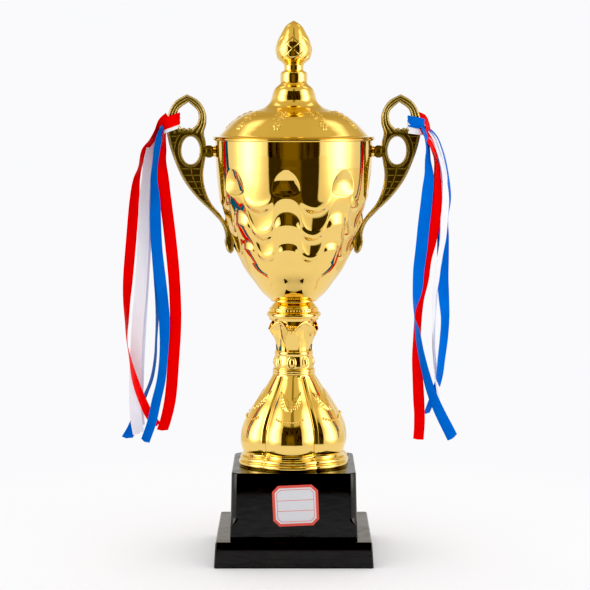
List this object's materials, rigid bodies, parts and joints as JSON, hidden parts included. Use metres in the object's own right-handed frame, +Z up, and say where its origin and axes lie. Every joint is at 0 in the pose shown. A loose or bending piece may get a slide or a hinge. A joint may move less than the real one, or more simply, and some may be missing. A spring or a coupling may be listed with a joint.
{
  "type": "cup trophy",
  "caption": "Lidded two-handled award cup on a lobed stem and a stepped square plinth, with ribbons hitched to its handles; the lid lifts off.",
  "frame": {"origin": "centre of the plinth's underside, on the surface the trophy stands on", "axes": "+Z up; the front, with the label, faces -Y; the handles and ribbons lie along +X and -X"},
  "size_m": [0.2876, 0.1364, 0.45],
  "materials": {
    "plinth_black": "glossy black moulded plastic",
    "pad_foam": "matt black foam sheet",
    "ballast_cement": "rough cast cement",
    "label_paper": "coated paper sticker with a red border",
    "gold_metal": "mirror-polished gold plating on stamped metal",
    "gold_plated_plastic": "mirror-bright gold vacuum plating on moulded plastic",
    "handle_bronze": "antique bronze plating, dark in the recesses and bright on the ridges",
    "steel_zinc": "zinc-plated steel",
    "ribbon_red": "red satin ribbon",
    "ribbon_white": "white satin ribbon",
    "ribbon_blue": "blue satin ribbon"
  },
  "bodies": {
    "trophy": {"plinth_lower": "plinth_black", "plinth_upper": "plinth_black", "base_pad": "pad_foam", "ballast_block": "ballast_cement", "price_label": "label_paper", "stem": "gold_plated_plastic", "neck_collar": "gold_plated_plastic", "cup_seat": "gold_metal", "bowl": "gold_metal", "handle_left": "handle_bronze", "handle_right": "handle_bronze", "handle_spacers": "gold_plated_plastic", "handle_screws": "steel_zinc", "handle_screw_washers": "steel_zinc", "tie_rod": "steel_zinc", "base_washer": "steel_zinc", "base_nut": "steel_zinc", "cup_washer": "steel_zinc", "cup_nut": "steel_zinc", "ribbon_left_red": "ribbon_red", "ribbon_right_red": "ribbon_red", "ribbon_left_white": "ribbon_white", "ribbon_right_white": "ribbon_white", "ribbon_left_blue": "ribbon_blue", "ribbon_right_blue": "ribbon_blue"},
    "lid": {"lid_dome": "gold_metal", "finial": "gold_plated_plastic", "finial_stud": "steel_zinc", "lid_washer": "steel_zinc", "lid_nut": "steel_zinc"}
  },
  "joints": [
    {"name": "lid_lift", "type": "slide", "parent": "trophy", "child": "lid", "axis": [0, 0, 1], "range_m": [0, 0.06]}
  ]
}
